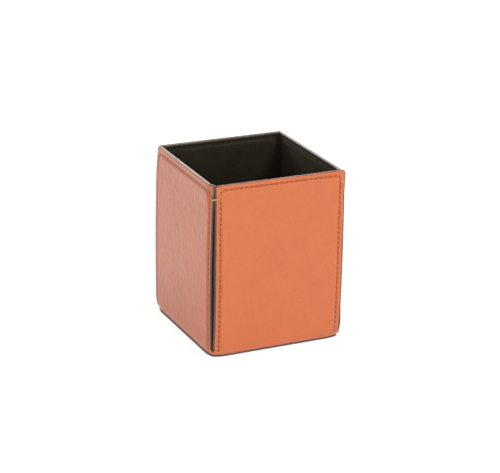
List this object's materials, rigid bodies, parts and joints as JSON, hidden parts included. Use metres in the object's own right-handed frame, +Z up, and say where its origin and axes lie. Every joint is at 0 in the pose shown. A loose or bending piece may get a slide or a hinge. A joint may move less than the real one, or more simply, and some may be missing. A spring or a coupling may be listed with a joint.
{
  "type": "pencil cup",
  "caption": "Open square leather desk cup for pens and pencils, with padded top-stitched walls, a dark suede-like lining, painted edges, slotted corners and thread ties near the rim.",
  "frame": {"origin": "middle of the base, on the surface that the cup stands on", "axes": "+Z up to the rim, -Y towards the front wall, +X to the right as seen from the front"},
  "size_m": [0.083, 0.083, 0.1],
  "materials": {
    "tan_leather": "satin",
    "black_lining": "matte",
    "fibre_board": "matte",
    "edge_paint": "gloss",
    "tan_thread": "satin",
    "black_thread": "satin"
  },
  "bodies": {
    "root": {"outer_leather": "tan_leather", "lining": "black_lining", "base_board": "fibre_board", "right_board": "fibre_board", "back_board": "fibre_board", "left_board": "fibre_board", "front_board": "fibre_board", "right_edge_paint": "edge_paint", "back_edge_paint": "edge_paint", "left_edge_paint": "edge_paint", "front_edge_paint": "edge_paint", "right_outer_stitching": "tan_thread", "back_outer_stitching": "tan_thread", "left_outer_stitching": "tan_thread", "front_outer_stitching": "tan_thread", "right_inner_stitching": "black_thread", "back_inner_stitching": "black_thread", "left_inner_stitching": "black_thread", "front_inner_stitching": "black_thread", "back_right_tie": "tan_thread", "back_left_tie": "tan_thread", "front_left_tie": "tan_thread", "front_right_tie": "tan_thread"}
  },
  "joints": []
}
